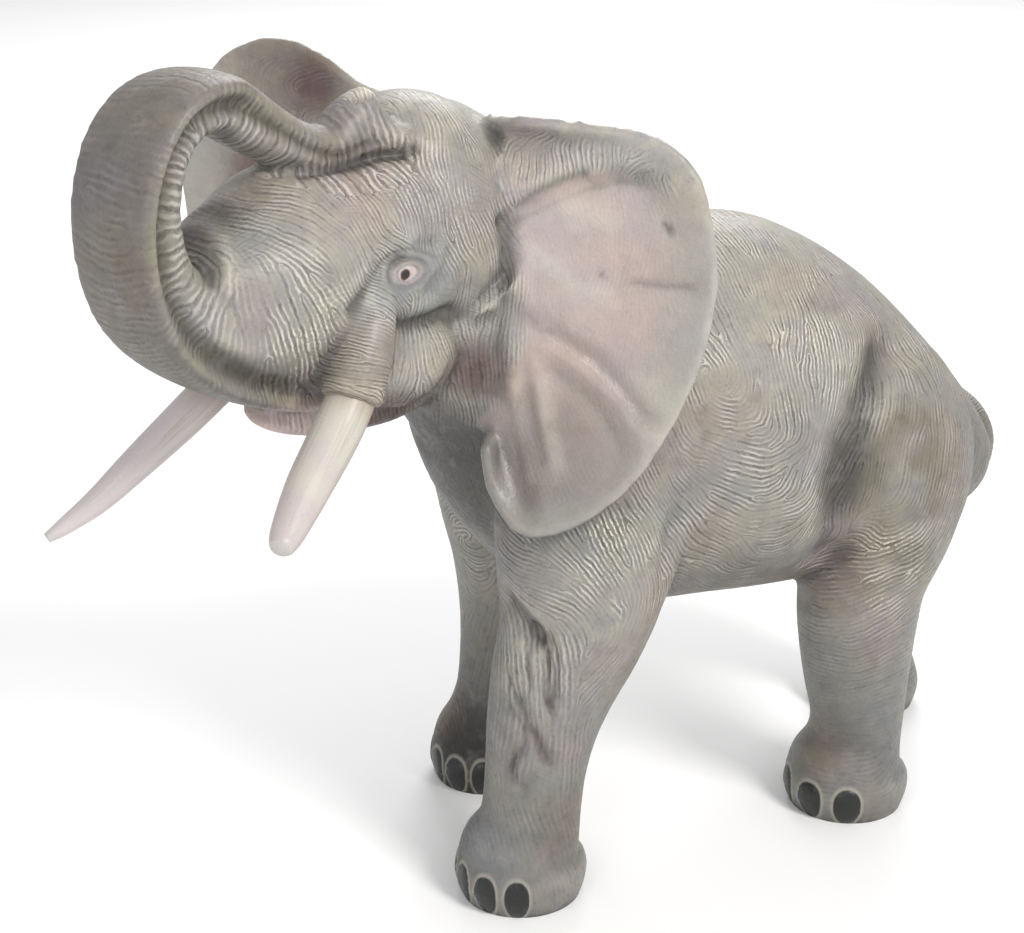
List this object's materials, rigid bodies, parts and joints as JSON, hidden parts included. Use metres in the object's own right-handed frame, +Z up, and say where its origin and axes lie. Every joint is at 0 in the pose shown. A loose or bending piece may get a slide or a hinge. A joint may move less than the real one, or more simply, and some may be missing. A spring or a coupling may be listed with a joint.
{
  "type": "elephant statue",
  "caption": "Standing elephant statue with its trunk curled up and back over the brow, spread ears and set-in tusks.",
  "frame": {"origin": "on the ground under the middle of the statue's bounding box", "axes": "+Z up, -Y the way the elephant faces, +X its left side"},
  "size_m": [0.5524, 1.1574, 0.9181],
  "materials": {
    "painted_skin": "painted grey-beige casting with dark washed folds, cream ridges and a satin coat",
    "ivory": "cream painted casting, satin"
  },
  "bodies": {
    "root": {"elephant_body": "painted_skin", "left_tusk": "ivory", "right_tusk": "ivory"}
  },
  "joints": []
}
